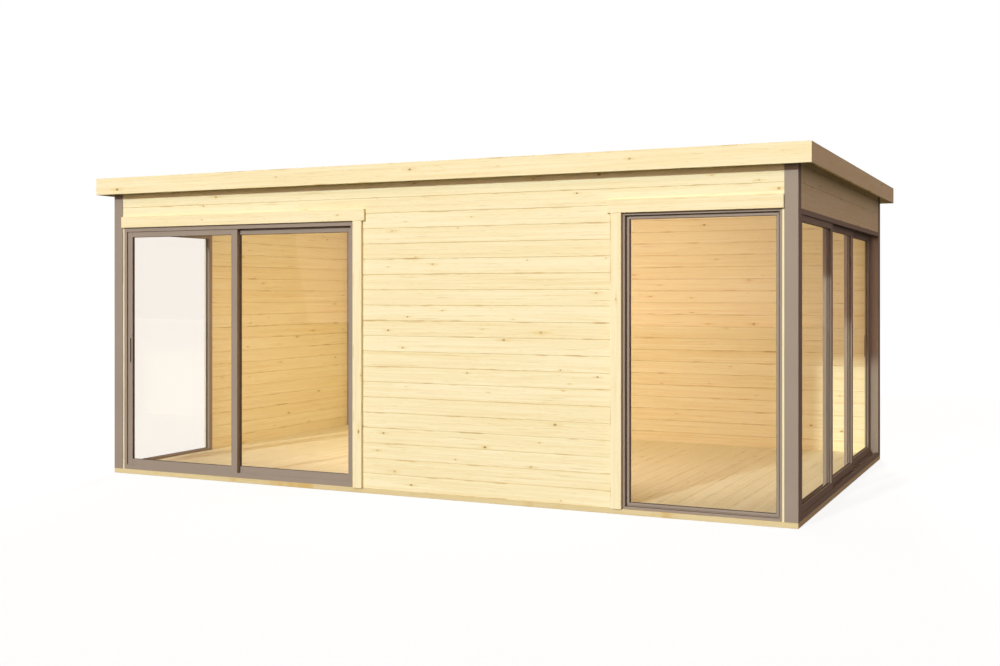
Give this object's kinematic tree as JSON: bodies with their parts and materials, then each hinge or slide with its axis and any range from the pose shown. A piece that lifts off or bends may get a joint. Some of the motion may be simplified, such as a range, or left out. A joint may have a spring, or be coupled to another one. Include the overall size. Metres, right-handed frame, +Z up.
{
  "type": "timber garden cabin",
  "caption": "Flat-roofed garden cabin of horizontal spruce planks with taupe aluminium corner posts, sliding glass doors on the front and right end, and fixed corner windows.",
  "frame": {"origin": "centre of the base at ground level", "axes": "+X along the front to the right end, -Y towards the front, +Z up"},
  "size_m": [5.7, 3.7, 2.38],
  "materials": {
    "spruce_planks": "planed untreated spruce tongue-and-groove planks with knots",
    "spruce_trim": "planed untreated spruce boards",
    "floor_boards": "planed spruce floor boards",
    "base_timber": "pressure-treated base timber with a faint green cast",
    "roof_timber": "planed spruce joists and roof boards",
    "coated_aluminium": "satin taupe powder coating on aluminium",
    "pull_metal": "satin dark taupe powder coating",
    "clear_glass": "clear insulating glass",
    "roofing_sheet": "dull black rubber roofing sheet"
  },
  "bodies": {
    "root": {"front_wall": "spruce_planks", "front_lintel": "spruce_planks", "rear_wall": "spruce_planks", "left_wall": "spruce_planks", "left_lintel": "spruce_planks", "right_lintel": "spruce_planks", "front_door_header": "spruce_trim", "front_door_casings": "spruce_trim", "front_window_header": "spruce_trim", "front_window_casings": "spruce_trim", "left_window_header": "spruce_trim", "left_window_casings": "spruce_trim", "right_door_header": "spruce_trim", "front_fascia": "spruce_trim", "rear_fascia": "spruce_trim", "left_fascia": "spruce_trim", "right_fascia": "spruce_trim", "floor": "floor_boards", "base_sills": "base_timber", "floor_joists": "base_timber", "roof_joists": "roof_timber", "roof_deck": "roof_timber", "front_left_post": "coated_aluminium", "front_right_post": "coated_aluminium", "rear_left_post": "coated_aluminium", "rear_right_post": "coated_aluminium", "front_door_frame": "coated_aluminium", "front_fixed_sash": "coated_aluminium", "front_window_frame": "coated_aluminium", "left_window_frame": "coated_aluminium", "right_door_frame": "coated_aluminium", "right_fixed_sash": "coated_aluminium", "front_fixed_glass": "clear_glass", "front_window_glass": "clear_glass", "left_window_glass": "clear_glass", "right_fixed_glass": "clear_glass", "roof_membrane": "roofing_sheet"},
    "front_sash": {"front_sliding_sash": "coated_aluminium", "front_sliding_glass": "clear_glass", "front_door_pull": "pull_metal"},
    "right_middle": {"right_middle_sash": "coated_aluminium", "right_middle_glass": "clear_glass"},
    "right_rear": {"right_rear_sash": "coated_aluminium", "right_rear_glass": "clear_glass", "right_door_pull": "pull_metal"}
  },
  "joints": [
    {"name": "front_door_slide", "type": "slide", "parent": "root", "child": "front_sash", "axis": [1, 0, 0], "range_m": [0, 1.0325]},
    {"name": "right_middle_slide", "type": "slide", "parent": "root", "child": "right_middle", "axis": [0, -1, 0], "range_m": [0, 1.0666]},
    {"name": "right_rear_slide", "type": "slide", "parent": "root", "child": "right_rear", "axis": [0, -1, 0], "range_m": [0, 2.1433]}
  ]
}
